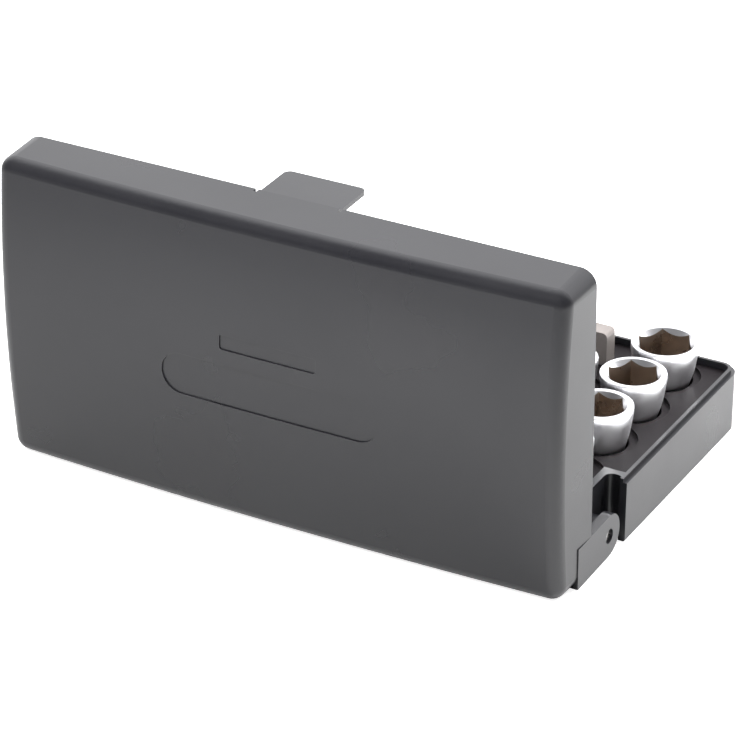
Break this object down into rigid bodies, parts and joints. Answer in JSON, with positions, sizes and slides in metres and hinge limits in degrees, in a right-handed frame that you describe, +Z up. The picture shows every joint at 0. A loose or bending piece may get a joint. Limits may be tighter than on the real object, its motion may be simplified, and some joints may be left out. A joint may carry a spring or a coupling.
{
  "type": "socket organizer box",
  "caption": "Hinged plastic socket case standing open, its deck holding chromed drive sockets, a ratchet and two extension bars.",
  "frame": {"origin": "on the ground, under the middle of the tray", "axes": "+X along the hinge, +Y from the open lid to the latch side, +Z up"},
  "size_m": [0.1826, 0.1255, 0.097],
  "materials": {
    "case_plastic": "satin",
    "deck_plastic": "matte",
    "chromed_steel": "polished",
    "plain_steel": "satin"
  },
  "bodies": {
    "tray": {"tray_shell": "case_plastic", "socket_deck": "deck_plastic", "hinge_pin_left": "plain_steel", "hinge_pin_right": "plain_steel"},
    "lid": {"lid_shell": "case_plastic"},
    "socket_15_mm": {"socket_15_mm": "chromed_steel"},
    "socket_14_mm": {"socket_14_mm": "chromed_steel"},
    "socket_13_mm": {"socket_13_mm": "chromed_steel"},
    "socket_11_mm": {"socket_11_mm": "chromed_steel"},
    "socket_12_mm": {"socket_12_mm": "chromed_steel"},
    "socket_10_mm": {"socket_10_mm": "chromed_steel"},
    "socket_9_mm": {"socket_9_mm": "chromed_steel"},
    "socket_8_mm": {"socket_8_mm": "chromed_steel"},
    "socket_7_mm": {"socket_7_mm": "chromed_steel"},
    "socket_6_mm": {"socket_6_mm": "chromed_steel"},
    "socket_5_5_mm": {"socket_5_5_mm": "chromed_steel"},
    "socket_5_mm": {"socket_5_mm": "chromed_steel"},
    "socket_4_mm": {"socket_4_mm": "chromed_steel"},
    "ratchet": {"ratchet_handle": "chromed_steel", "ratchet_cover_plate": "chromed_steel", "ratchet_cover_screws": "plain_steel"},
    "ratchet_drive": {"ratchet_drive_gear": "plain_steel", "ratchet_detent_ball": "plain_steel"},
    "ratchet_selector": {"ratchet_reversing_lever": "plain_steel", "ratchet_pawl": "plain_steel"},
    "extension_long": {"extension_bar_long": "chromed_steel", "extension_bar_long_ball": "plain_steel"},
    "extension_short": {"extension_bar_short": "chromed_steel", "extension_bar_short_ball": "plain_steel"}
  },
  "joints": [
    {"name": "lid_hinge", "type": "hinge", "parent": "tray", "child": "lid", "pos_m": [0, -0.0415, 0.00735], "axis": [1, 0, 0], "range_deg": [-91.5, 0]},
    {"name": "lift_socket_15_mm", "type": "slide", "parent": "tray", "child": "socket_15_mm", "axis": [0, 0, 1], "range_m": [0, 0.03]},
    {"name": "lift_socket_14_mm", "type": "slide", "parent": "tray", "child": "socket_14_mm", "axis": [0, 0, 1], "range_m": [0, 0.03]},
    {"name": "lift_socket_13_mm", "type": "slide", "parent": "tray", "child": "socket_13_mm", "axis": [0, 0, 1], "range_m": [0, 0.03]},
    {"name": "lift_socket_11_mm", "type": "slide", "parent": "tray", "child": "socket_11_mm", "axis": [0, 0, 1], "range_m": [0, 0.03]},
    {"name": "lift_socket_12_mm", "type": "slide", "parent": "tray", "child": "socket_12_mm", "axis": [0, 0, 1], "range_m": [0, 0.03]},
    {"name": "lift_socket_10_mm", "type": "slide", "parent": "tray", "child": "socket_10_mm", "axis": [0, 0, 1], "range_m": [0, 0.03]},
    {"name": "lift_socket_9_mm", "type": "slide", "parent": "tray", "child": "socket_9_mm", "axis": [0, 0, 1], "range_m": [0, 0.03]},
    {"name": "lift_socket_8_mm", "type": "slide", "parent": "tray", "child": "socket_8_mm", "axis": [0, 0, 1], "range_m": [0, 0.03]},
    {"name": "lift_socket_7_mm", "type": "slide", "parent": "tray", "child": "socket_7_mm", "axis": [0, 0, 1], "range_m": [0, 0.03]},
    {"name": "lift_socket_6_mm", "type": "slide", "parent": "tray", "child": "socket_6_mm", "axis": [0, 0, 1], "range_m": [0, 0.03]},
    {"name": "lift_socket_5_5_mm", "type": "slide", "parent": "tray", "child": "socket_5_5_mm", "axis": [0, 0, 1], "range_m": [0, 0.03]},
    {"name": "lift_socket_5_mm", "type": "slide", "parent": "tray", "child": "socket_5_mm", "axis": [0, 0, 1], "range_m": [0, 0.03]},
    {"name": "lift_socket_4_mm", "type": "slide", "parent": "tray", "child": "socket_4_mm", "axis": [0, 0, 1], "range_m": [0, 0.03]},
    {"name": "lift_ratchet", "type": "slide", "parent": "tray", "child": "ratchet", "axis": [0, 0, 1], "range_m": [0, 0.03]},
    {"name": "ratchet_drive_turn", "type": "hinge", "parent": "ratchet", "child": "ratchet_drive", "pos_m": [-0.0634, 0.0347, 0.0171], "axis": [0, 1, 0], "continuous": true},
    {"name": "reversing_lever_rock", "type": "hinge", "parent": "ratchet", "child": "ratchet_selector", "pos_m": [-0.0538, 0.0347, 0.0171], "axis": [0, 1, 0], "range_deg": [-12, 12]},
    {"name": "lift_extension_long", "type": "slide", "parent": "tray", "child": "extension_long", "axis": [0, 0, 1], "range_m": [0, 0.03]},
    {"name": "lift_extension_short", "type": "slide", "parent": "tray", "child": "extension_short", "axis": [0, 0, 1], "range_m": [0, 0.03]}
  ]
}
